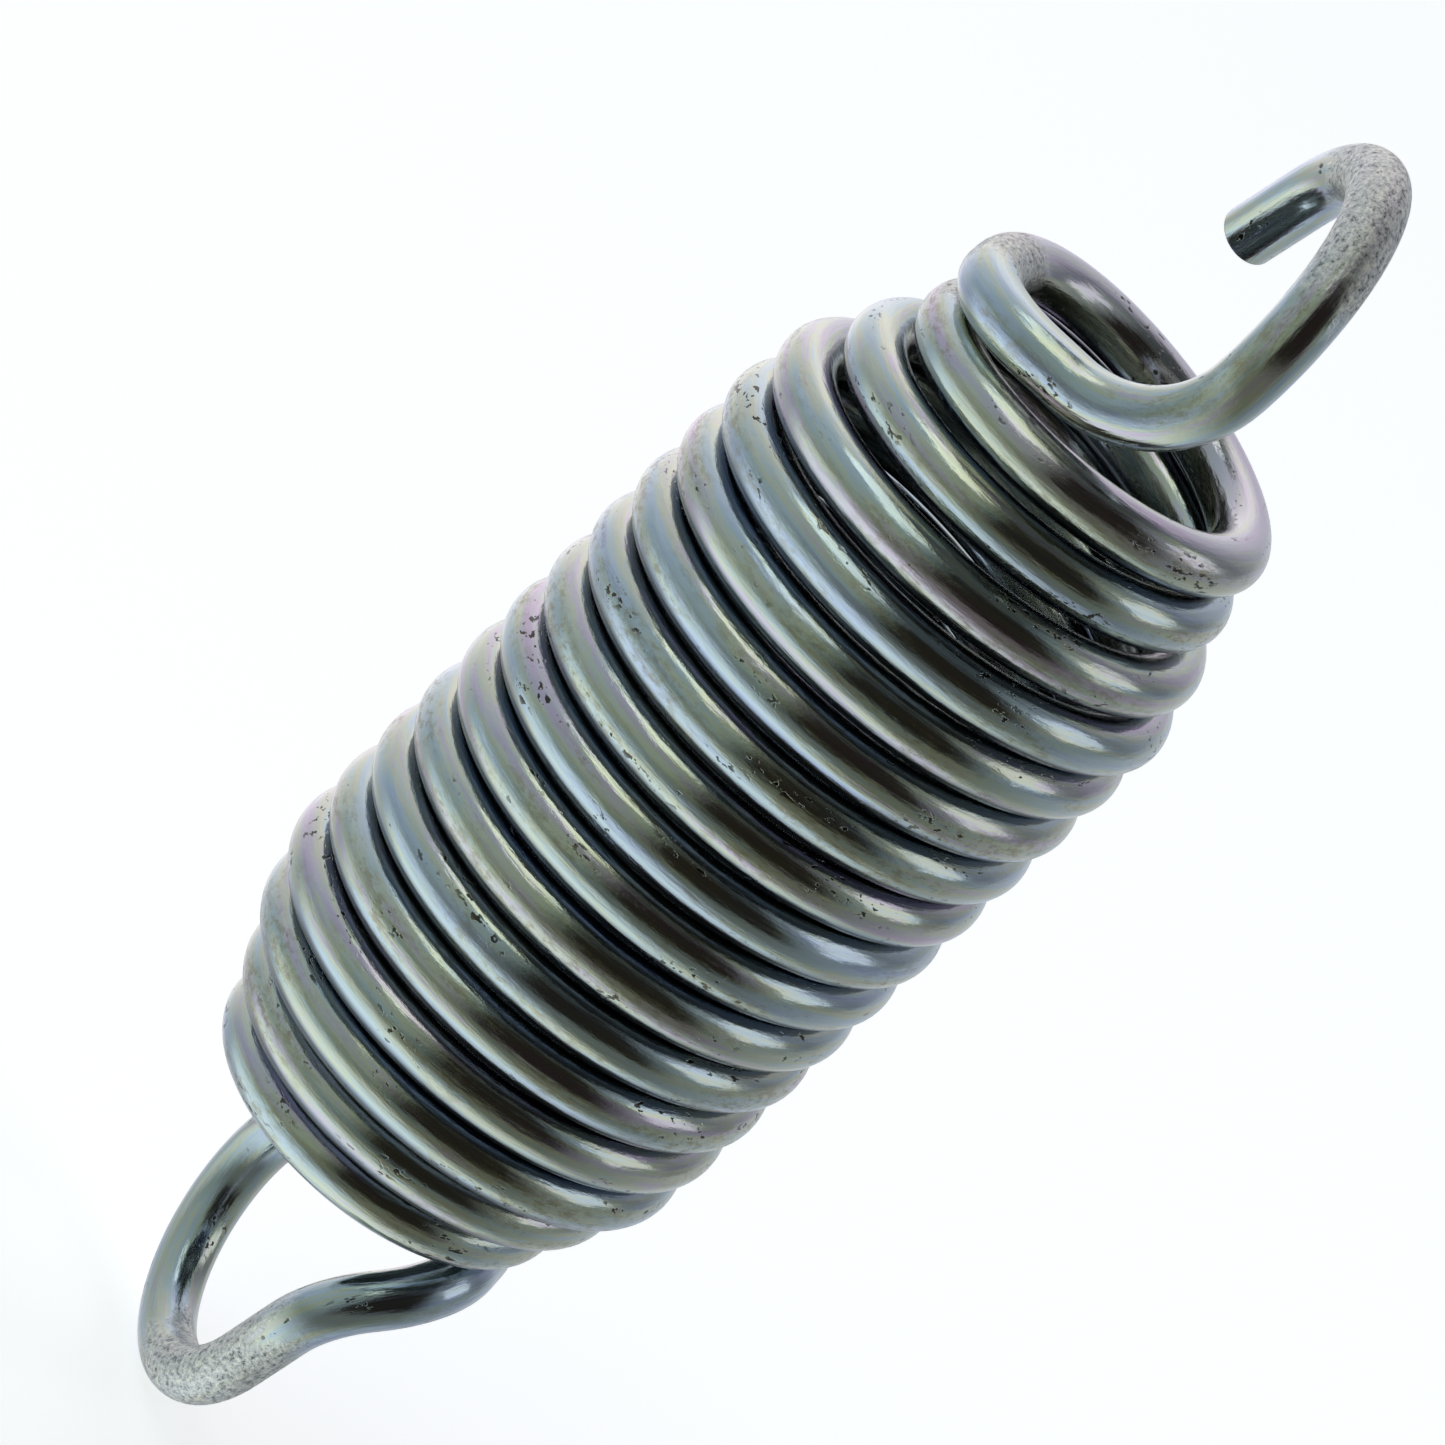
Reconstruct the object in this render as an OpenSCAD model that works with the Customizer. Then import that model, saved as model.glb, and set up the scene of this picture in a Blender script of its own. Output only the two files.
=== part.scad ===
// Extension spring: one wire wound into a nearly closed right-hand coil, with a closed loop at the
// lower end and an open hook at the upper end. Millimetres, +Z along the coil's axis.
// The origin is on that axis, level with the seat of the lower loop, where an anchor pin bears.

/* [Wire] */
// Diameter of the spring wire
wire_d = 5; // [4:0.1:5]

/* [Coil] */
// Mean radius of the body's turns, from the axis to the middle of the wire
body_r = 19.5; // [18:0.1:22]
// Rise of the wire in one turn
pitch = 5.25; // [5.25:0.05:6.5]
// Whole turns between the lower loop and the last half turn under the hook
whole_turns = 17; // [12:1:21]

/* [Tapered ends] */
// Mean radius of the coil's lower end
lower_end_r = 13.9; // [13:0.1:16]
// Half turns that the lower end takes to widen to the body
lower_taper = 4.9; // [4:0.1:7]
// Mean radius of the coil's upper end
upper_end_r = 14.3; // [13:0.1:16]
// Half turns that the upper end takes to narrow from the body
upper_taper = 4.4; // [4:0.1:7]
// Sideways offset of the two end turns, towards +X
end_shift = 0.6; // [0:0.1:1]

/* [Lower loop] */
// Radius of the closed loop, to the middle of the wire
loop_r = 12.6; // [12:0.1:13]
// Angle that the loop is bent through
loop_angle = 176; // [170:1:180]
// Straight length that closes the loop
loop_tail = 7.9; // [4:0.1:8]

/* [Upper hook] */
// Radius of the open hook, to the middle of the wire
hook_r = 13.7; // [13:0.1:14]
// Angle that the hook is bent through
hook_angle = 155.5; // [150:0.5:165]
// Straight length from the hook's curve to the cut end
hook_tail = 7.2; // [3:0.1:9]

/* [Hidden] */
wire_colour = [0.66, 0.68, 0.70];
$fn = 64;

// Half turns of the coil: two for each whole turn and one more under the hook
halves = 2 * whole_turns + 1;
// Half turns at each end that keep the end radius
lower_closed = 1.3;
upper_closed = 2;
// Length left out at the end of each straight or curved stretch, so that each is a solid of its own
seam = 0.01;

// A bend is [straight feed before it, roll of the bending plane, radius to the wire's middle, angle].
// The shank bends carry the wire from the coil's end turn into the loop or the hook.
LOWER_BENDS = [[3, 46.5, 9, 63.5], [0.7, 46.5, 8.3, 52.5], [6.1, -70, loop_r, loop_angle]];
UPPER_BENDS = [[2.2, 7.5, 9, 77], [3.3, 90, 10.7, 80], [0, -62, hook_r, hook_angle]];

// The coil is laid out by marks, one at each half turn: even marks on +X, odd marks on -X.
function is_lower(i) = i < halves / 2;
// Share of the taper done at mark i, counted from the nearer end of the coil
function widened(i) =
    is_lower(i) ? min(1, max(0, (i - lower_closed) / lower_taper))
                : min(1, max(0, (halves - i - upper_closed) / upper_taper));
function end_r(i) = is_lower(i) ? lower_end_r : upper_end_r;
function mark_r(i) = end_r(i) + (body_r - end_r(i)) * widened(i);
function mark_side(i) = i % 2 == 0 ? 1 : -1;
function mark_x(i) = mark_side(i) * mark_r(i) + end_shift * (1 - widened(i));
function mark_z(i) = coil_z + i * pitch / 2;

// The wire's state is [place, heading, inward normal]; these follow it through a list of bends.
function bend_normal(state, bend) = state[2] * cos(bend[1]) + cross(state[1], state[2]) * sin(bend[1]);
function bend_centre(state, bend) = state[0] + state[1] * bend[0] + bend_normal(state, bend) * bend[2];
function after_bend(state, bend) =
    let (n = bend_normal(state, bend))
    let (outward = state[1] * sin(bend[3]) - n * cos(bend[3]))
    [bend_centre(state, bend) + outward * bend[2], state[1] * cos(bend[3]) + n * sin(bend[3]), -outward];
function before_bend(state, bends, k) =
    k == 0 ? state : after_bend(before_bend(state, bends, k - 1), bends[k - 1]);
// Height of the lowest point of a bend's full circle, along the middle of the wire
function bend_low(state, bend) =
    bend_centre(state, bend)[2] - bend[2] * norm(let (a = cross(state[1], bend_normal(state, bend))) [a[0], a[1]]);

// Height of the coil's first mark: the lower loop's seat, on the inside of its wire, is at zero
lower_start = [[mark_x(0), 0, 0], [0, -1, 0], [-1, 0, 0]];
coil_z = -bend_low(before_bend(lower_start, LOWER_BENDS, 2), LOWER_BENDS[2]) - wire_d / 2;

module straight(length) {
    rotate([-90, 0, 0])
        cylinder(d = wire_d, h = length - seam);
}

module ring_arc(radius, angle) {
    rotate_extrude(angle = angle - seam / radius * 180 / PI)
        translate([radius, 0])
            circle(d = wire_d);
}

// In a bend's own frame the wire arrives at the origin, heading along +Y, and bends towards -X.
module bent(bend) {
    if (bend[0] > 0) straight(bend[0]);
    translate([0, bend[0], 0])
        rotate([0, bend[1], 0])
            translate([-bend[2], 0, 0])
                ring_arc(bend[2], bend[3]);
}

module past(bend) {
    translate([0, bend[0], 0])
        rotate([0, bend[1], 0])
            translate([-bend[2], 0, 0])
                rotate([0, 0, bend[3]])
                    translate([bend[2], 0, 0])
                        children();
}

// Places its children after the first k bends
module past_bends(bends, k, done = 0) {
    if (done == k) children();
    else past(bends[done]) past_bends(bends, k, done + 1) children();
}

module at_lower_end() {
    translate([mark_x(0), 0, mark_z(0)])
        rotate([180, 0, 0])
            children();
}

module at_upper_end() {
    translate([mark_x(halves), 0, mark_z(halves)])
        rotate([0, 0, 180])
            children();
}

// Half a turn from mark i to the next: half a ring, tilted so that its ends meet both marks
module half_turn(i) {
    span = [mark_x(i + 1) - mark_x(i), mark_z(i + 1) - mark_z(i)];
    translate([mark_x(i) + span[0] / 2, 0, mark_z(i) + span[1] / 2])
        rotate([0, mark_side(i) * asin(span[1] / norm(span)), 0])
            rotate([0, 0, i % 2 == 0 ? 0 : 180])
                ring_arc(norm(span) / 2, 180);
}

module turn(k) {
    color(wire_colour)
        for (i = [2 * k - 2, 2 * k - 1])
            half_turn(i);
}

module lower_loop() {
    color(wire_colour)
        at_lower_end()
            past_bends(LOWER_BENDS, 2) {
                bent(LOWER_BENDS[2]);
                past(LOWER_BENDS[2]) straight(loop_tail);
            }
}

module lower_shank() {
    color(wire_colour)
        at_lower_end() {
            bent(LOWER_BENDS[0]);
            past(LOWER_BENDS[0]) bent(LOWER_BENDS[1]);
        }
}

module end_turn() {
    color(wire_colour)
        half_turn(halves - 1);
}

module upper_shank() {
    color(wire_colour)
        at_upper_end() {
            bent(UPPER_BENDS[0]);
            past(UPPER_BENDS[0]) bent(UPPER_BENDS[1]);
        }
}

module upper_hook() {
    color(wire_colour)
        at_upper_end()
            past_bends(UPPER_BENDS, 2) {
                bent(UPPER_BENDS[2]);
                past(UPPER_BENDS[2]) straight(hook_tail);
            }
}

function turn_name(k) = str("turn_", k < 10 ? "0" : "", k);

lower_loop();
lower_shank();
for (k = [1:whole_turns])
    turn(k);
end_turn();
upper_shank();
upper_hook();
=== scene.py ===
# %% [markdown]
# # An extension spring: one wire, drawn as one long line
#
# The real spring is a single length of zinc-plated spring wire. A machine winds it into a coil, narrows the
# last few turns, and bends both ends into a loop and a hook. Modelling each turn by hand would leave joins
# that catch the light, so this lesson works out the wire's centre line once, from end to end, and then
# wraps one skin round it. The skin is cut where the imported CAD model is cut, so that every piece can move
# with its own CAD body when the spring is pulled.

import math

import bpy
import numpy as np
from mathutils import Matrix, Vector


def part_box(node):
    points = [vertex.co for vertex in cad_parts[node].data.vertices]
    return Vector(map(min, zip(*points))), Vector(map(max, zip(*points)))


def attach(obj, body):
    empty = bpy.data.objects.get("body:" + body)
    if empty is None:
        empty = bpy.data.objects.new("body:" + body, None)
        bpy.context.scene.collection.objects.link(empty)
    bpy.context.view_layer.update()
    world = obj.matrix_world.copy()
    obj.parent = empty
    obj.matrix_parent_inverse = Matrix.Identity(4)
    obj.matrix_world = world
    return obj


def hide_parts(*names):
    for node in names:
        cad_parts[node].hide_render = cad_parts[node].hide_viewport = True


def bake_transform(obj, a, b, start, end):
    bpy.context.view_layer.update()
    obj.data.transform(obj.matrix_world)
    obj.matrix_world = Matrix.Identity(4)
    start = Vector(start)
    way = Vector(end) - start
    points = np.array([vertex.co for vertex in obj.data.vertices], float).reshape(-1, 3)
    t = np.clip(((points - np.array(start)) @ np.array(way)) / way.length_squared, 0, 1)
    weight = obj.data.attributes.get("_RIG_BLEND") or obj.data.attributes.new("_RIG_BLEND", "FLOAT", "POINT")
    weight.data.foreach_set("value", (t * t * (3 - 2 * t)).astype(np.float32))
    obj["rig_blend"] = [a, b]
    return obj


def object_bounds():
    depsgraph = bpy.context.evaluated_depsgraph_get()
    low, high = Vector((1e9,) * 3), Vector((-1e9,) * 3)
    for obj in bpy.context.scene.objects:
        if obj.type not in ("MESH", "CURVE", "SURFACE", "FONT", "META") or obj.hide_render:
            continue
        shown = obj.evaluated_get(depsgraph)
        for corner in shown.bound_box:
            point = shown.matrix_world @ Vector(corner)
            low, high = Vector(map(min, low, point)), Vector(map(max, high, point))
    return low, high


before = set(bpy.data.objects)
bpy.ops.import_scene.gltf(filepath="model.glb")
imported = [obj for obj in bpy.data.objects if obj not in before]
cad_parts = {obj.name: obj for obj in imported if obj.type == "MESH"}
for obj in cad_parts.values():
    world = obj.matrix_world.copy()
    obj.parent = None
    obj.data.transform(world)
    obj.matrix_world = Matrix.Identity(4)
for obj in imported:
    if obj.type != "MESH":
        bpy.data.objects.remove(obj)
cad_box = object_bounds()
MM = 0.001
print("CAD box, mm:", [[round(c / MM, 2) for c in corner] for corner in cad_box])

# %% [markdown]
# ## Marks along the coil
#
# The coil's middle line crosses the plane y = 0 once every half turn. In the CAD model each half turn starts
# with a flat face in that plane, so the middles of those faces are the coil's marks: even marks lie on +X and
# odd marks on -X. Reading them from the frame keeps this wire exactly on the CAD wire, with no second copy
# of the coil's sizes to go out of step.

# %% Read the marks and the wire's thickness
TURNS = sorted(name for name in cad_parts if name.startswith("turn_"))
HALVES = 2 * len(TURNS) + 1


def corners_of(mesh):
    """Every corner of a mesh, one row each."""
    corners = np.empty(len(mesh.vertices) * 3, np.float32)
    mesh.vertices.foreach_get("co", corners)
    return corners.reshape(-1, 3).astype(float)


def starting_face(node, side):
    """Corners of a node's flat face in the plane y = 0, on the +X side (side 1) or the -X side (side -1)."""
    corners = corners_of(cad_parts[node].data)
    flat = corners[(np.abs(corners[:, 1]) < 0.001 * MM) & (corners[:, 0] * side > 0)]
    return np.unique(flat.round(8), axis=0)


def face_middle(corners):
    """Halfway between the face's lowest and highest corners."""
    return (corners.min(axis=0) + corners.max(axis=0)) / 2


mark_faces = [starting_face(turn, side) for turn in TURNS for side in (1, -1)]
mark_faces += [starting_face("end_turn", 1), starting_face("upper_shank", -1)]
marks = np.array([face_middle(corners) for corners in mark_faces])
marks[:, 1] = 0.0
WIRE_R = max(np.linalg.norm(corners - face_middle(corners), axis=1).max() for corners in mark_faces)
print(len(marks), "marks; wire", round(2 * WIRE_R / MM, 3), "mm; coil over the wire",
      round((marks[:, 0].max() - marks[:, 0].min() + 2 * WIRE_R) / MM, 2), "mm")

# %% [markdown]
# ## The centre line of the coil
#
# Half a turn could be drawn as part of a helix, but the CAD model uses half a ring, tilted so that both its
# ends meet their marks. The same half ring is used here, so the two models agree to a hundredth of a
# millimetre. Along with each point goes the wire's heading and an "inward" direction at right angles to it:
# together they say where a ring of skin lies and how far round the wire a spot of finish is.

# %% Half turns
SPACING = 0.8 * MM


def square_to(vectors, headings):
    """Each vector with its part along the heading taken away, at length one."""
    flat = vectors - headings * (vectors * headings).sum(axis=1, keepdims=True)
    return flat / np.linalg.norm(flat, axis=1, keepdims=True)


def half_turn(a, b, bulge):
    """Half a ring from mark a to mark b, bulging towards +Y or -Y. With h half of b - a, and t from 0 to 180
    degrees, a point is the middle - h cos t + Y bulge |h| sin t; its slope gives the heading."""
    h = (b - a) / 2
    size = np.linalg.norm(h)
    t = np.linspace(0, math.pi, math.ceil(math.pi * size / SPACING) + 1)[:, None]
    out = np.array([0.0, bulge, 0.0])
    line = (a + b) / 2 - h * np.cos(t) + out * size * np.sin(t)
    heading = h / size * np.sin(t) + out * np.cos(t)
    inward = ((a + b) / 2 - line) * np.array([1.0, 1.0, 0.0])
    return {"line": line, "heading": heading, "inward": square_to(inward, heading), "turned": t[:, 0] / math.pi}


coil = [half_turn(marks[i], marks[i + 1], 1 if i % 2 == 0 else -1) for i in range(HALVES)]
coil_length = sum(math.pi * np.linalg.norm(marks[i + 1] - marks[i]) / 2 for i in range(HALVES))
print(HALVES, "half turns,", round(coil_length, 3), "m of wire in the coil")

# %% [markdown]
# ## The bends into the loop and the hook
#
# A spring maker's bending table says how far to feed the wire, how far to roll it over, and how far to bend
# it round which former. The same three numbers and a radius are used for every bend here. Between bends the
# skin must not twist, so the inward direction keeps its angle to the plane of each bend.

# %% Bends
# Straight feed in mm, roll of the bending plane, radius to the wire's middle in mm, angle
LOWER_BENDS = [[3, 46.5, 9, 63.5], [0.7, 46.5, 8.3, 52.5], [6.1, -70, 12.6, 176]]
UPPER_BENDS = [[2.2, 7.5, 9, 77], [3.3, 90, 10.7, 80], [0, -62, 13.7, 155.5]]
# Straight length in mm from the last bend to the cut end
LOWER_TAIL = 7.9
UPPER_TAIL = 7.2


def straight(place, heading, inward, length):
    """A straight stretch: every point is the start + heading times the distance gone."""
    gone = np.linspace(0, length, math.ceil(length / SPACING) + 1)[:, None]
    same = np.ones_like(gone)
    return {"line": place + heading * gone, "heading": heading * same, "inward": inward * same}


def bend(place, heading, inward, normal, radius, angle):
    """A bend towards normal. After a turn of f the point is the centre - normal r cos f + heading r sin f.
    Heading and inward turn by f about the bend's axis."""
    f = np.linspace(0, angle, math.ceil(radius * angle / SPACING) + 1)[:, None]
    axis = np.cross(heading, normal)
    line = place + normal * radius * (1 - np.cos(f)) + heading * radius * np.sin(f)
    turned_heading = heading * np.cos(f) + normal * np.sin(f)
    turned_normal = normal * np.cos(f) - heading * np.sin(f)
    turned_inward = turned_normal * (inward @ normal) + axis * (inward @ axis)
    return {"line": line, "heading": turned_heading, "inward": turned_inward}


def bent_end(place, heading, normal, bends, tail):
    """The stretches of a whole bending table, followed by a straight tail. One list for each bend."""
    groups = []
    inward = normal.copy()
    for feed, roll, radius, angle in bends:
        group = []
        if feed > 0:
            group.append(straight(place, heading, inward, feed * MM))
            place = group[-1]["line"][-1]
        roll = math.radians(roll)
        normal = normal * math.cos(roll) + np.cross(heading, normal) * math.sin(roll)
        group.append(bend(place, heading, inward, normal, radius * MM, math.radians(angle)))
        place, inward = group[-1]["line"][-1], group[-1]["inward"][-1]
        start_heading, start_normal = heading, normal
        heading = group[-1]["heading"][-1]
        normal = start_normal * math.cos(math.radians(angle)) - start_heading * math.sin(math.radians(angle))
        groups.append(group)
    groups[-1].append(straight(place, heading, inward, tail * MM))
    return groups


TO_FRONT = np.array([0.0, -1.0, 0.0])
lower_end = bent_end(marks[0], TO_FRONT, np.array([-1.0, 0.0, 0.0]), LOWER_BENDS, LOWER_TAIL)
upper_end = bent_end(marks[-1], TO_FRONT, np.array([1.0, 0.0, 0.0]), UPPER_BENDS, UPPER_TAIL)
print("loop's end, mm:", (lower_end[-1][-1]["line"][-1] / MM).round(2),
      " hook's end, mm:", (upper_end[-1][-1]["line"][-1] / MM).round(2))

# %% [markdown]
# ## One line, cut where the CAD model is cut
#
# The lower end was drawn from the coil outwards, so it is turned round here and the whole wire then runs from
# the loop's end, up the coil, to the hook's end. "along" is the length of wire from the coil's first mark. It
# runs on from piece to piece, so drawing lines and stains cross the joins unbroken.

# %% Order the stretches and measure along the wire


def turned_round(stretch):
    """The same stretch followed from its other end."""
    return {"line": stretch["line"][::-1], "heading": -stretch["heading"][::-1], "inward": stretch["inward"][::-1]}


def joined(stretches):
    """Stretches end to end as one, with the shared points kept once."""
    return {key: np.concatenate([stretches[0][key]] + [stretch[key][1:] for stretch in stretches[1:]])
            for key in stretches[0]}


def steps_along(line):
    """Distance along a line of points, from its first one."""
    return np.concatenate([[0.0], np.cumsum(np.linalg.norm(np.diff(line, axis=0), axis=1))])


for i, stretch in enumerate(coil):
    stretch["turned"] = stretch["turned"] + i

pieces_of_wire = {
    "lower_loop": joined([turned_round(stretch) for stretch in lower_end[2][::-1]]),
    "lower_shank": joined([turned_round(stretch) for group in lower_end[1::-1] for stretch in group[::-1]]),
}
for k, turn in enumerate(TURNS):
    pieces_of_wire[turn] = joined(coil[2 * k:2 * k + 2])
pieces_of_wire["end_turn"] = coil[HALVES - 1]
pieces_of_wire["upper_shank"] = joined(upper_end[0] + upper_end[1])
pieces_of_wire["upper_hook"] = joined(upper_end[2])

reached = -sum(steps_along(pieces_of_wire[node]["line"])[-1] for node in ("lower_loop", "lower_shank"))
for stretch in pieces_of_wire.values():
    stretch["along"] = reached + steps_along(stretch["line"])
    reached = stretch["along"][-1]
print("wire from", round(pieces_of_wire["lower_loop"]["along"][0] / MM, 1), "to", round(reached / MM, 1), "mm")

# %% [markdown]
# ## The skin
#
# A ring of 48 corners round each point of the line is enough: on a 5 mm wire the flats are a third of a
# millimetre wide. Shading reads a normal at each corner. Worked out from the faces, it would be slightly
# wrong at a piece's last ring, where the neighbour's faces are missing, and every join would show as a fine
# line. The wire's own radial direction is the true normal, so it is given to the mesh. The two cut ends of
# the real wire were sheared and tumbled, so they get a small rounded rim; all other ends are flat caps that
# stay hidden against the next piece.

# %% Wrap the skin round the line
SIDES = 48
RIM = 0.25 * MM
RIM_STEPS = 6
CUT_ENDS = {"lower_loop": 0, "upper_hook": -1}


def rounded_rim(stretch, end):
    """Shortens a stretch's first (end 0) or last (end -1) straight by the rim, and adds rings that close round
    it. At angle g from 0 to 90 degrees a ring lies RIM sin g further out, its radius less by RIM (1 - cos g)."""
    way = 1 if end == -1 else -1
    along, outward = stretch["along"], stretch["heading"][end] * way
    kept = np.abs(along - along[end]) > RIM
    g = np.linspace(0, math.pi / 2, RIM_STEPS)
    body = {key: stretch[key][kept] for key in ("line", "heading", "inward", "along")}
    body |= {"radius": np.full(kept.sum(), WIRE_R), "lean": np.zeros(kept.sum())}
    rim = {
        "line": stretch["line"][end] - outward * (RIM * (1 - np.sin(g)))[:, None],
        "heading": np.repeat(stretch["heading"][[end]], RIM_STEPS, axis=0),
        "inward": np.repeat(stretch["inward"][[end]], RIM_STEPS, axis=0),
        "along": along[end] - way * RIM * (1 - np.sin(g)),
        "radius": WIRE_R - RIM * (1 - np.cos(g)),
        "lean": way * np.sin(g),
    }
    order = (body, rim) if end == -1 else ({key: rim[key][::-1] for key in rim}, body)
    return {key: np.concatenate([part[key] for part in order]) for key in body}


def wire_skin(name, stretch):
    """Rings round a line. A corner at angle a is the line's point + radius (inward cos a + across sin a),
    where across is heading x inward. Its normal is that direction, leaned towards the heading on a rim."""
    line, heading, inward = stretch["line"], stretch["heading"], stretch["inward"]
    rings = len(line)
    radius = stretch.get("radius", np.full(rings, WIRE_R))
    lean = stretch.get("lean", np.zeros(rings))
    a = np.linspace(0, 2 * math.pi, SIDES, endpoint=False)
    across = np.cross(heading, inward)
    radial = inward[:, None] * np.cos(a)[None, :, None] + across[:, None] * np.sin(a)[None, :, None]
    corners = line[:, None] + radial * radius[:, None, None]
    normals = radial * np.sqrt(1 - lean**2)[:, None, None] + heading[:, None] * lean[:, None, None]

    ring, side = np.meshgrid(np.arange(rings - 1), np.arange(SIDES), indexing="ij")
    here, next_side = ring * SIDES + side, ring * SIDES + (side + 1) % SIDES
    quads = np.stack([here, next_side, next_side + SIDES, here + SIDES], axis=-1).reshape(-1, 4)
    first_middle, last_middle = rings * SIDES, rings * SIDES + 1
    s = np.arange(SIDES)
    last_ring = (rings - 1) * SIDES
    caps = np.concatenate([
        np.stack([np.full(SIDES, first_middle), (s + 1) % SIDES, s], axis=-1),
        np.stack([np.full(SIDES, last_middle), last_ring + s, last_ring + (s + 1) % SIDES], axis=-1),
    ])
    places = np.concatenate([corners.reshape(-1, 3), line[:1], line[-1:]])
    mesh = bpy.data.meshes.new(name)
    mesh.from_pydata(places.tolist(), [], quads.tolist() + caps.tolist())
    mesh.polygons.foreach_set("use_smooth", np.ones(len(mesh.polygons), bool))

    flat_normals = normals.reshape(-1, 3)
    cap_normals = np.repeat(np.stack([-heading[0], heading[-1]]), 3 * SIDES, axis=0)
    mesh.normals_split_custom_set(np.concatenate([flat_normals[quads.ravel()], cap_normals]).tolist())

    along = np.concatenate([np.repeat(stretch["along"], SIDES), stretch["along"][[0, -1]]])
    inward_part = np.concatenate([np.outer(radius, np.cos(a)).ravel(), [0, 0]])
    across_part = np.concatenate([np.outer(radius, np.sin(a)).ravel(), [0, 0]])
    straightened = np.stack([along, inward_part, across_part], axis=-1).astype(np.float32)
    mesh.attributes.new("unwound", "FLOAT_VECTOR", "POINT").data.foreach_set("vector", straightened.ravel())
    piece = bpy.data.objects.new(name, mesh)
    bpy.context.scene.collection.objects.link(piece)
    return piece


print("rings:", sum(len(stretch["line"]) for stretch in pieces_of_wire.values()))

# %% [markdown]
# ## Riding on the CAD bodies
#
# Pulling the hook moves the loop and its shank not at all, the hook and its shank by the whole stroke, and
# every part of the coil by its share. Each turn could slide as a stiff ring, but the turns would then tear
# apart. So the coil's pieces blend between the two ends, and a corner's weight is its share of the turns
# below it. The share starts and ends softly, over the first and last half turn, so that the wire leaves the
# shanks without a kink.

# %% Make the pieces


def share_of_stroke(turned):
    """Share of the stroke at a number of half turns. Its slope is 1 / (HALVES - 1) along the coil, and it
    grows evenly from nothing over the first half turn and dies away evenly over the last."""
    rising = np.minimum(turned, 1) ** 2 / 2
    middle = np.clip(turned, 1, HALVES - 1) - 1
    falling = 0.5 - np.minimum(HALVES - turned, 1) ** 2 / 2
    return (rising + middle + falling) / (HALVES - 1)


def paint(skin, name, values):
    """Stores a number for every corner of a skin: one for each ring, or one for each corner."""
    corners = len(skin.data.vertices)
    if len(values) != corners:
        values = np.repeat(values, SIDES)
        values = np.concatenate([values, values[[0, -1]]])
    found = skin.data.attributes.get(name) or skin.data.attributes.new(name, "FLOAT", "POINT")
    found.data.foreach_set("value", values.astype(np.float32))


hook_line = pieces_of_wire["upper_hook"]["line"]
loop_line = pieces_of_wire["lower_loop"]["line"]
PAST_LOWEST = round(13.6 * MM / SPACING)
# Middle, and size in mm, of each spot that a bending tool or a pin has left grainy: on the loop a little past
# its lowest point, at the hook's top, a third of the way along the hook, and where the coil ends
GRAINY_SPOTS = [
    (loop_line[loop_line[:, 2].argmin() + PAST_LOWEST], 11),
    (hook_line[hook_line[:, 2].argmax()], 8),
    (hook_line[len(hook_line) // 3], 8),
    (marks[-1], 5.5),
]


def graininess(skin):
    """The largest over the spots of exp(-(distance / size)^2), at every corner of a skin."""
    corners = corners_of(skin.data)
    distances = np.array([np.linalg.norm(corners - spot, axis=1) / (size * MM) for spot, size in GRAINY_SPOTS])
    return np.exp(-distances**2).max(axis=0)


# Half turns of coil below a point before there is a turn under it, whose painted shade then darkens the point's
# underside
FIRST_CROWDED = 1.6
lower_corner, upper_corner = (Vector((0, 0, marks[i][2])) for i in (0, HALVES))
skins = {}
for node, stretch in pieces_of_wire.items():
    if node in CUT_ENDS:
        stretch = rounded_rim(stretch, CUT_ENDS[node])
    skin = wire_skin("wire_" + node, stretch)
    if "turned" in stretch:
        # turn_below says where a turn lies below, for the painted shade on the underside in the groove
        paint(skin, "turn_below", np.clip(stretch["turned"] - FIRST_CROWDED, 0, 1))
        paint(skin, "thick_film", 0.25 + 0.75 * np.clip(stretch["turned"] - (HALVES - 2), 0, 1))
        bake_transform(skin, "lower_end", "upper_end", start=lower_corner, end=upper_corner)
        paint(skin, "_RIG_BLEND", share_of_stroke(stretch["turned"]))
    else:
        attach(skin, "lower_end" if node.startswith("lower") else "upper_end")
    paint(skin, "grainy", graininess(skin))
    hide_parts(node)
    skins[node] = skin

for node in ("lower_loop", "turn_09", "upper_hook"):
    corners = corners_of(skins[node].data)
    low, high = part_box(node)
    gap = max(np.abs(corners.min(axis=0) - low).max(), np.abs(corners.max(axis=0) - high).max())
    print(node, "differs from its CAD box by at most", round(gap / MM, 3), "mm")

# %% [markdown]
# ## Helpers for nodes and colours
#
# Materials and the room are trees of nodes. One function adds any node, sets its properties and links its
# inputs, so that each line below reads as one node. Colours are written as a paint chart gives them, in sRGB
# hex, and turned to the linear values that Blender works with.

# %% A node helper and a colour helper


def linear(code):
    """An sRGB hex colour as linear red, green, blue and 1: below 0.04045 divided by 12.92, else the power law."""
    parts = np.array([int(code[i:i + 2], 16) / 255 for i in (1, 3, 5)])
    light = np.where(parts <= 0.04045, parts / 12.92, ((parts + 0.055) / 1.055) ** 2.4)
    return (*light.tolist(), 1.0)


def add_node(tree, kind, inputs=None, **settings):
    """Adds a node. settings are its own properties; each input is a value, or another node's output to link."""
    node = tree.nodes.new(kind)
    for name, value in settings.items():
        setattr(node, name, value)
    for key, value in (inputs or {}).items():
        if isinstance(value, bpy.types.NodeSocket):
            tree.links.new(value, node.inputs[key])
        else:
            node.inputs[key].default_value = value
    return node


def new_material(name):
    """An empty node material with its shader linked to its output."""
    material = bpy.data.materials.new(name)
    material.use_nodes = True
    material.node_tree.nodes.clear()
    shader = add_node(material.node_tree, "ShaderNodeBsdfPrincipled")
    add_node(material.node_tree, "ShaderNodeOutputMaterial", {"Surface": shader.outputs["BSDF"]})
    return material, shader


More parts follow.
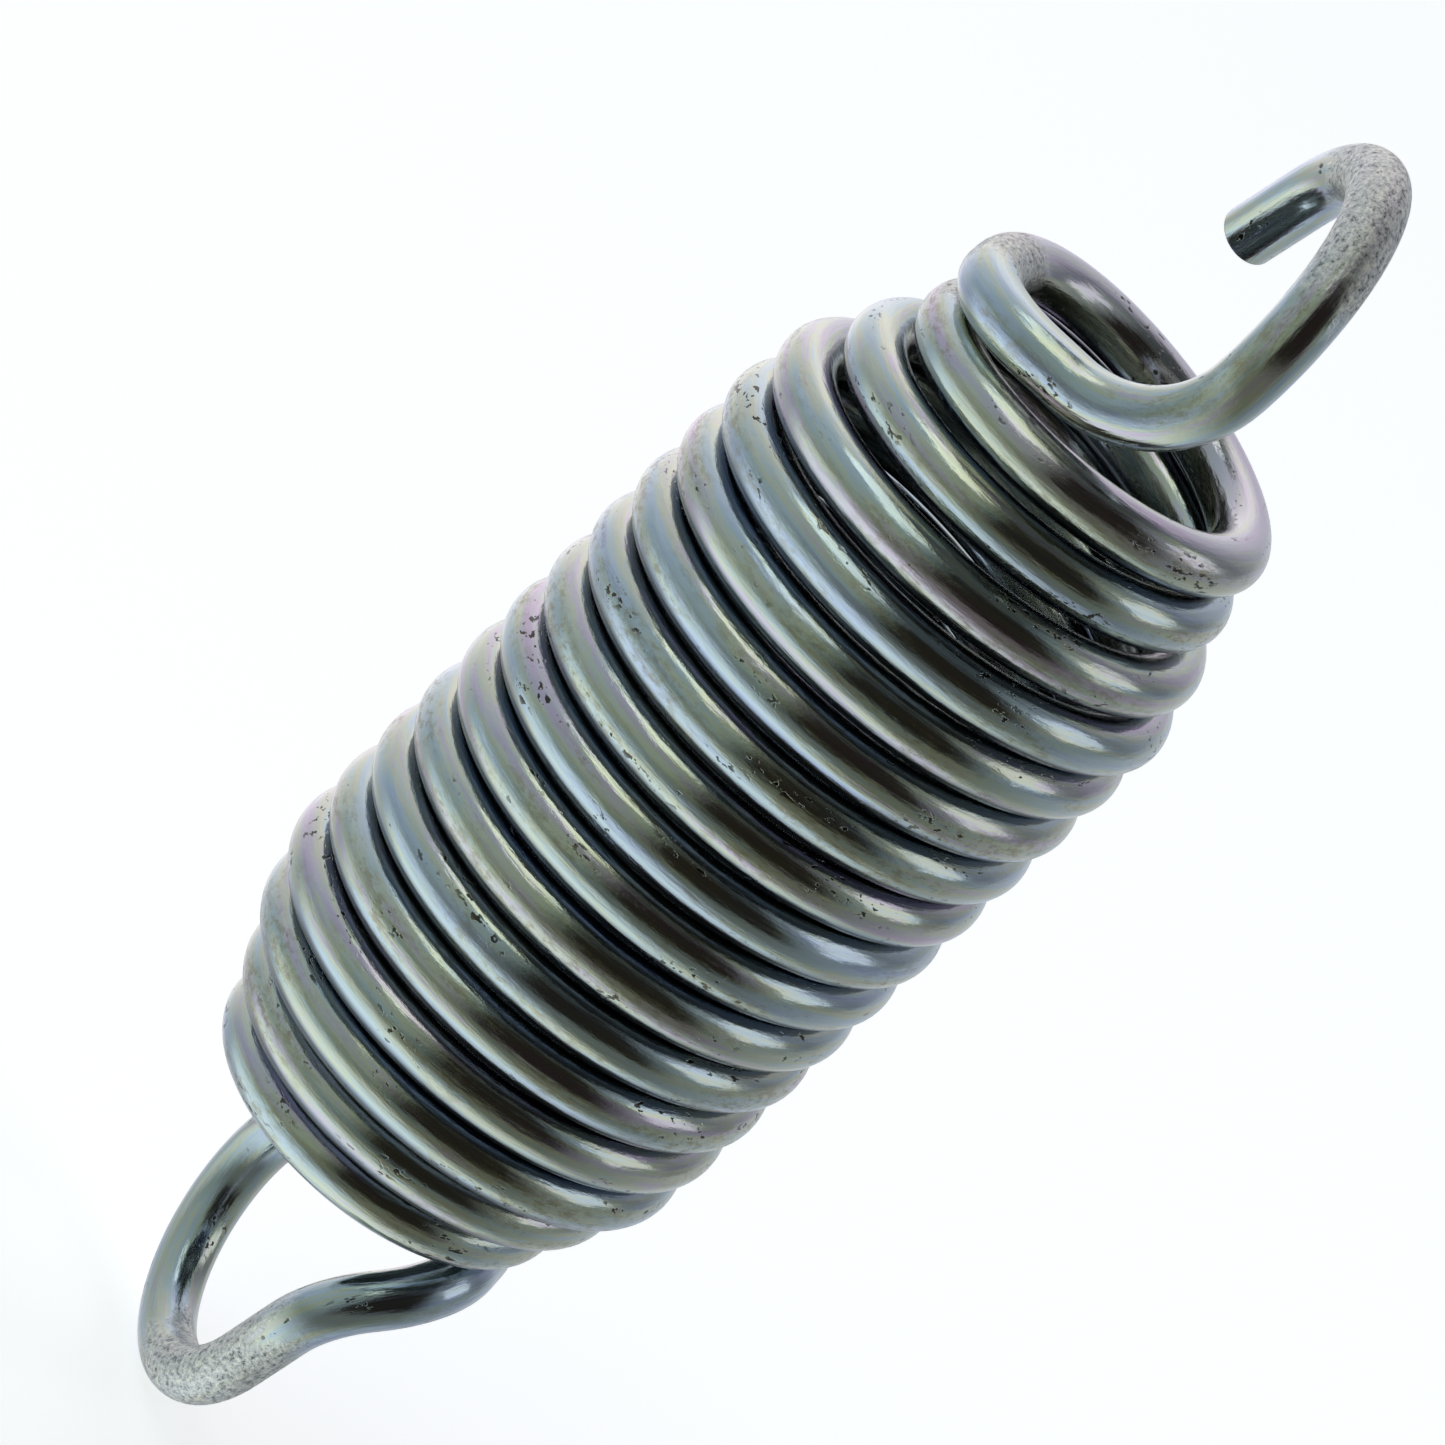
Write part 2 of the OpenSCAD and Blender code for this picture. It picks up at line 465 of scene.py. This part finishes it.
def set_stops(ramp, stops):
    """Gives a colour ramp its stops: pairs of position and hex colour, in order of position."""
    elements = ramp.color_ramp.elements
    for element, (position, code) in zip(elements, (stops[0], stops[-1])):
        element.position = position
        element.color = linear(code)
    for position, code in stops[1:-1]:
        elements.new(position).color = linear(code)


# What a Mix node's outputs and inputs are numbered when it mixes colours
COLOUR_OUT, FIRST_COLOUR, SECOND_COLOUR = 2, 6, 7
print("mid grey #808080 in linear light:", round(linear("#808080")[0], 3))

# %% [markdown]
# ## The finish: zinc-plated spring steel
#
# The wire is drawn through a die, coiled, plated with a few micrometres of bright zinc, and dipped in a
# chromate bath. The film it leaves is thin enough to colour light, from blue-grey through straw and green to
# violet, in bands that run along the wire. Under it are the fine lines of drawing and the small pits where the
# plating did not take. An image wrapped round the coil would show a seam and would stretch in the bends, so the
# finish is drawn with noise in "unwound" coordinates, as if the wire were still straight: x along it, and y and
# z across it, all in metres. Each pattern's size is then simply its size on the wire.

# %% The film's colour
wire_metal, shader = new_material("zinc plated spring wire")
tree = wire_metal.node_tree
unwound = add_node(tree, "ShaderNodeAttribute", attribute_name="unwound").outputs["Vector"]
round_wire = add_node(tree, "ShaderNodeSeparateXYZ", {"Vector": unwound})


def spots_on_wire(length, width, detail, **more):
    """Noise on the unwound wire, in spots of about that length along the wire and that width round it, in mm:
    the coordinates are divided by the spots' real sizes before the noise is read."""
    scaled = add_node(tree, "ShaderNodeMapping", {
        "Vector": unwound, "Scale": (1 / (length * MM), 1 / (width * MM), 1 / (width * MM))})
    return add_node(tree, "ShaderNodeTexNoise", {
        "Vector": scaled.outputs["Vector"], "Scale": 1.0, "Detail": detail, **more}).outputs["Fac"]


# The film's bands: some 40 mm long and 1.5 mm wide, with a smaller, patchy change of tint over them
bands_and_patches = add_node(tree, "ShaderNodeMix", {
    "Factor": 0.35, "A": spots_on_wire(40, 1.5, 2.0), "B": spots_on_wire(5, 0.7, 4.0, Roughness=0.65)})
# The bath drained off downwards: straw where it ran thin, violet higher up, and strongest on the end turn
drained = add_node(tree, "ShaderNodeMapRange", {
    "Value": round_wire.outputs["Z"], "From Min": -WIRE_R, "From Max": WIRE_R, "To Min": 0.50, "To Max": 0.67})
thick_film = add_node(tree, "ShaderNodeAttribute", attribute_name="thick_film")
share_drained = add_node(tree, "ShaderNodeMath", {0: thick_film.outputs["Fac"], 1: 0.7}, operation="MULTIPLY")
film = add_node(tree, "ShaderNodeMix", {
    "Factor": share_drained.outputs[0], "A": bands_and_patches.outputs[0], "B": drained.outputs["Result"]})
film_colour = add_node(tree, "ShaderNodeValToRGB", {"Fac": film.outputs[0]})
set_stops(film_colour, [(0.36, "#AEB8D0"), (0.43, "#BBC5CF"), (0.49, "#BCC8C7"),
                        (0.55, "#C9CAB2"), (0.59, "#C6C2C4"), (0.65, "#CBB8C8")])
print("film:", len(film_colour.color_ramp.elements), "tints")

# %% [markdown]
# ## Where the finish is blemished, and where shade is painted on
#
# Three kinds of blemish lie on the film, each one where a reason put it, and one painted shade lies with them.
# Pits are half a millimetre wide, in clusters a few millimetres long. Where two turns nearly touch, the underside
# of each turn that has a turn below it is painted blue-black: painted shade in the groove between turns. The
# outermost line of a turn is rubbed in use and holds a patchy brown bloom of grease and rust. Bending tools leave
# the plating grainy at the tips, with bright and dull flecks. Every blemish, and the painted shade, is cut out of a
# pattern or a position by an edge: 0 at the edge's first number, 1 at its second, and a smooth curve between.

# %% Patterns, edges, blemishes and painted shade
pits_and_clusters = spots_on_wire(0.8, 0.45, 2.0), spots_on_wire(9, 2.5, 1.0)
bloom_and_patches = spots_on_wire(1.3, 0.6, 5.0, Roughness=0.75), spots_on_wire(14, 3, 2.0)
flecks = spots_on_wire(0.55, 0.5, 4.0, Roughness=0.8)
grainy_spots = add_node(tree, "ShaderNodeAttribute", attribute_name="grainy")
grainy_ragged = add_node(tree, "ShaderNodeMath", {
    0: grainy_spots.outputs["Fac"], 1: spots_on_wire(5, 2.5, 3.0)}, operation="ADD")
turn_below = add_node(tree, "ShaderNodeAttribute", attribute_name="turn_below")

EDGES = {
    "pit": (pits_and_clusters[0], 0.60, 0.66),
    "pit cluster": (pits_and_clusters[1], 0.56, 0.66),
    "underside": (round_wire.outputs["Z"], -0.30 * WIRE_R, -0.64 * WIRE_R),
    "outermost": (round_wire.outputs["Y"], -0.60 * WIRE_R, -0.97 * WIRE_R),
    "bloom": (bloom_and_patches[0], 0.45, 0.62),
    "bloom patch": (bloom_and_patches[1], 0.43, 0.62),
    "grain": (grainy_ragged.outputs[0], 0.75, 1.15),
}
within = {
    name: add_node(tree, "ShaderNodeMapRange", {"Value": value, "From Min": low, "From Max": high},
                   interpolation_type="SMOOTHSTEP").outputs["Result"]
    for name, (value, low, high) in EDGES.items()}
within["crowded"] = turn_below.outputs["Fac"]

# A blemish, or the painted groove shade, lies where two or more of these hold at once, so their amounts are
# multiplied together
BLEMISHES_AND_SHADE = {"pitted": ("pit", "pit cluster"), "painted_groove_shade": ("underside", "crowded"),
             "rubbed": ("bloom", "bloom patch", "outermost")}
blemish_and_shade = {"grainy": within["grain"]}
for name, (first, *others) in BLEMISHES_AND_SHADE.items():
    blemish_and_shade[name] = within[first]
    for other in others:
        both = add_node(tree, "ShaderNodeMath", {0: blemish_and_shade[name], 1: within[other]}, operation="MULTIPLY")
        blemish_and_shade[name] = both.outputs[0]
print("blemishes:", ", ".join(blemish_and_shade))

# %% [markdown]
# ## Colour, gloss and relief
#
# The blemishes and the painted groove shade are laid over the film like coats of paint, each with its own colour
# and its own strength.
# Zinc is a metal: it has no colour of its own under a gloss, and its base colour only tints what it mirrors.
# Its gloss changes a little with the drawing lines, a fifth of a millimetre apart, and is lost where the
# plating is grainy or rubbed. The relief is a stack of bumps, each with its real height: the long waves that a
# drawn wire keeps, dents, drawing lines, pits that go inwards, and grain.

# %% Colour
fleck_colour = add_node(tree, "ShaderNodeValToRGB", {"Fac": flecks})
set_stops(fleck_colour, [(0.36, "#45423E"), (0.42, "#B0ADA9"), (0.51, "#D8D5D0"), (0.62, "#F8F2E2")])
# The blue-black #5E6676 coat is painted shade on the underside of each turn in the groove between turns, not a
# stain
COATS = [("pitted", 1.0, linear("#4A443A")), ("painted_groove_shade", 1.0, linear("#5E6676")),
         ("rubbed", 0.6, linear("#9C9070")), ("grainy", 0.85, fleck_colour.outputs["Color"])]
colour = film_colour.outputs["Color"]
for name, strength, coat in COATS:
    amount = add_node(tree, "ShaderNodeMath", {0: blemish_and_shade[name], 1: strength}, operation="MULTIPLY").outputs[0]
    coated = add_node(tree, "ShaderNodeMix", {
        "Factor": amount, FIRST_COLOUR: colour, SECOND_COLOUR: coat}, data_type="RGBA")
    colour = coated.outputs[COLOUR_OUT]
tree.links.new(colour, shader.inputs["Base Color"])
shader.inputs["Metallic"].default_value = 1.0
print("coats over the film:", len(COATS))

# %% Gloss and relief
lines = spots_on_wire(25, 0.2, 2.0)
roughness = add_node(tree, "ShaderNodeMapRange", {
    "Value": lines, "From Min": 0.3, "From Max": 0.7, "To Min": 0.10, "To Max": 0.22}).outputs["Result"]
for name, rougher in (("grainy", 0.30), ("rubbed", 0.16)):
    roughness = add_node(tree, "ShaderNodeMath", {
        0: blemish_and_shade[name], 1: rougher, 2: roughness}, operation="MULTIPLY_ADD").outputs[0]
tree.links.new(roughness, shader.inputs["Roughness"])

grain_height = add_node(tree, "ShaderNodeMath", {0: blemish_and_shade["grainy"], 1: flecks}, operation="MULTIPLY").outputs[0]
# Height pattern, its real height in mm, and whether it goes inwards
RELIEF = [(spots_on_wire(6, 0.9, 2.0), 0.06, False), (spots_on_wire(2.0, 0.5, 4.0, Roughness=0.65), 0.032, False),
          (lines, 0.004, False), (blemish_and_shade["pitted"], 0.045, True), (grain_height, 0.13, False)]
under = {}
for height, depth, inwards in RELIEF:
    bump = add_node(tree, "ShaderNodeBump", {
        "Height": height, "Strength": 1.0, "Distance": depth * MM, **under}, invert=inwards)
    under = {"Normal": bump.outputs["Normal"]}
tree.links.new(bump.outputs["Normal"], shader.inputs["Normal"])

for skin in skins.values():
    skin.data.materials.append(wire_metal)
print(wire_metal.name + ":", len(tree.nodes), "nodes on", len(skins), "pieces")

# %% [markdown]
# ## Floor
#
# A plain pale floor under the spring. Like a light table it glows a little, so that it stays white without
# lamps that would burn out the metal. It is kept out of mirror reflections: the wire mirrors the room's
# lower half instead, which looks the same from every turn of the coil.

# %% Floor
FLOOR_HALF = 3.0
floor_z = cad_box[0].z
floor_corners = [(x * FLOOR_HALF, y * FLOOR_HALF, floor_z) for x, y in ((-1, -1), (1, -1), (1, 1), (-1, 1))]
floor_mesh = bpy.data.meshes.new("floor")
floor_mesh.from_pydata(floor_corners, [], [(0, 1, 2, 3)])
floor = bpy.data.objects.new("floor", floor_mesh)
bpy.context.scene.collection.objects.link(floor)
floor.visible_glossy = False
floor_paint, shader = new_material("white studio floor")
shader.inputs["Base Color"].default_value = linear("#F6F5F3")
shader.inputs["Roughness"].default_value = 0.9
shader.inputs["Emission Color"].default_value = linear("#FFFFFF")
shader.inputs["Emission Strength"].default_value = 0.62
floor_mesh.materials.append(floor_paint)
print("floor at", round(floor_z / MM, 2), "mm")

# %% [markdown]
# ## Room
#
# A bright round wire is a mirror, so its looks are those of the room. Going round this one: a white wall
# behind on the left, grey-blue to the left, green-grey towards the front, then a dark gap round the camera
# and above it, and a grey wall on the right. The room's lower half brightens evenly towards the bottom. Two
# rings of colour, at eye level and above it, are read by compass direction and blended by height. A lamp or a
# wall looks darker in the wire than it is, because zinc under its film mirrors only about half of the light, so
# all that the wire mirrors is made brighter by as much.

# %% Two rings of colour
WIRE_SHINE = 0.55
room = bpy.data.worlds.new("room")
bpy.context.scene.world = room
room.use_nodes = True
tree = room.node_tree
tree.nodes.clear()
direction = add_node(tree, "ShaderNodeTexCoord").outputs["Generated"]
parts = add_node(tree, "ShaderNodeSeparateXYZ", {"Vector": direction})
front = add_node(tree, "ShaderNodeMath", {0: parts.outputs["Y"], 1: -1.0}, operation="MULTIPLY")
compass = add_node(tree, "ShaderNodeMath", {0: parts.outputs["X"], 1: front.outputs[0]}, operation="ARCTAN2")
round_room = add_node(tree, "ShaderNodeMapRange", {
    "Value": compass.outputs[0], "From Min": -math.pi, "From Max": math.pi}).outputs["Result"]
# The room's paints
WHITE, SILVER, SLATE, SAGE = "#D6D4DA", "#A8ACB4", "#84909A", "#707A74"
DIM, GAP, STONE, DUSK = "#545852", "#1B1916", "#687072", "#5C606A"
# Degrees from the front, right positive, and the paint there
RINGS = {
    "eye level": [
        (-180, SILVER), (-160, WHITE), (-110, SLATE), (-60, SAGE), (0, DIM), (60, DIM), (90, STONE), (180, SILVER)],
    "above eyes": [
        (-180, SILVER), (-160, WHITE), (-130, SILVER), (-90, SLATE), (-20, SAGE), (0, GAP), (60, GAP), (80, STONE),
        (110, STONE), (130, DUSK), (180, SILVER)],
}
ring_colours = {}
for name, stops in RINGS.items():
    ramp = add_node(tree, "ShaderNodeValToRGB", {"Fac": round_room})
    set_stops(ramp, [((degrees + 180) / 360, code) for degrees, code in stops])
    ring_colours[name] = ramp.outputs["Color"]
print("rings of colour:", {name: len(stops) for name, stops in RINGS.items()})

# %% Blend them by height, and light the room
BRIGHTEST_BELOW = (-0.22, -0.05, -0.974)
towards_brightest = add_node(tree, "ShaderNodeVectorMath", {
    0: direction, 1: BRIGHTEST_BELOW}, operation="DOT_PRODUCT")
ROOM_EDGES = {
    "above eyes": (parts.outputs["Z"], -0.10, 0.22),
    "ceiling": (parts.outputs["Z"], 0.80, 0.96),
    "behind": (parts.outputs["Y"], 0.0, 0.45),
    "below": (towards_brightest.outputs["Value"], 0.25, 1.0),
}
into = {
    name: add_node(tree, "ShaderNodeMapRange", {"Value": value, "From Min": low, "From Max": high},
                   interpolation_type="SMOOTHSTEP").outputs["Result"]
    for name, (value, low, high) in ROOM_EDGES.items()}
below_colour = add_node(tree, "ShaderNodeMix", {
    "Factor": into["behind"], FIRST_COLOUR: linear("#CCD8DE"), SECOND_COLOUR: linear("#878D92")}, data_type="RGBA")
seen = add_node(tree, "ShaderNodeLightPath").outputs["Is Camera Ray"]
# Each part of the room is blended over the last; what shows behind the spring is plain white
room_colour = ring_colours["eye level"]
for amount, over in ((into["above eyes"], ring_colours["above eyes"]), (into["ceiling"], linear("#34393A")),
                     (into["below"], below_colour.outputs[COLOUR_OUT]), (seen, linear("#FFFFFF"))):
    blended = add_node(tree, "ShaderNodeMix", {
        "Factor": amount, FIRST_COLOUR: room_colour, SECOND_COLOUR: over}, data_type="RGBA")
    room_colour = blended.outputs[COLOUR_OUT]
strength = add_node(tree, "ShaderNodeMix", {"Factor": seen, "A": 1 / WIRE_SHINE, "B": 1.0})
background = add_node(tree, "ShaderNodeBackground", {"Color": room_colour, "Strength": strength.outputs[0]})
add_node(tree, "ShaderNodeOutputWorld", {"Surface": background.outputs["Background"]})
print("room:", len(tree.nodes), "nodes")

# %% [markdown]
# ## Lamps
#
# Two softboxes a metre away. One stands on the right and gives each turn its ragged white flash before the
# edge; the other hangs high on the left and draws a fine line along the top of each turn.

# %% Softboxes
middle = (cad_box[0] + cad_box[1]) / 2
SOFTBOX_DISTANCE = 1.0


def softbox(name, azimuth, elevation, width, tall, brightness, colour):
    """A rectangular area lamp seen from the spring at that azimuth (0 is the front, right positive) and
    elevation, with that brightness as the wire mirrors it. Its power is brightness times pi times its area."""
    a, e = math.radians(azimuth), math.radians(elevation)
    away = Vector((math.sin(a) * math.cos(e), -math.cos(a) * math.cos(e), math.sin(e)))
    lamp = bpy.data.lights.new(name, "AREA")
    lamp.shape = "RECTANGLE"
    lamp.size, lamp.size_y = width, tall
    lamp.energy = brightness / WIRE_SHINE * math.pi * width * tall
    lamp.color = linear(colour)[:3]
    holder = bpy.data.objects.new(name, lamp)
    holder.location = middle + away * SOFTBOX_DISTANCE
    holder.rotation_euler = away.to_track_quat("Z", "Y").to_euler()
    bpy.context.scene.collection.objects.link(holder)
    print(name, "at, m:", [round(c, 2) for c in holder.location])


softbox("softbox right", 101, 33, 0.46, 0.56, 0.39, "#F1F4FF")
softbox("softbox high left", -68, 62, 0.70, 0.40, 0.50, "#F8FFF4")

# %% [markdown]
# ## Camera
#
# A long lens from half a metre away, 22 degrees above the horizon and rolled to one side, so that the
# coil's axis climbs to the upper right.

# %% Camera
ELEVATION = math.radians(22.25)
ROLL = math.radians(43.97)
DISTANCE = 0.4809
# How far the camera aims from the coil's middle, in mm: to its own right and up
AIM_RIGHT, AIM_UP = -0.317, 4.372
upright = np.array([0.0, math.sin(ELEVATION), math.cos(ELEVATION)])
sideways = np.array([1.0, 0.0, 0.0])
right = math.cos(ROLL) * upright + math.sin(ROLL) * sideways
up = math.sin(ROLL) * upright - math.cos(ROLL) * sideways
back = np.array([0.0, -math.cos(ELEVATION), math.sin(ELEVATION)])
coil_middle = np.array([0.0, 0.0, (marks[0][2] + marks[-1][2]) / 2])
look_at = coil_middle + AIM_RIGHT * MM * right + AIM_UP * MM * up
lens = bpy.data.cameras.new("camera")
lens.lens = 149.8
lens.sensor_width = 36.0
camera = bpy.data.objects.new("camera", lens)
facing = Matrix((right, up, back)).transposed().to_4x4()
camera.matrix_world = Matrix.Translation(Vector(look_at + DISTANCE * back)) @ facing
bpy.context.scene.collection.objects.link(camera)
bpy.context.scene.camera = camera
bpy.context.scene.view_settings.view_transform = "Standard"
print("camera at, mm:", [round(c / MM, 1) for c in camera.location])
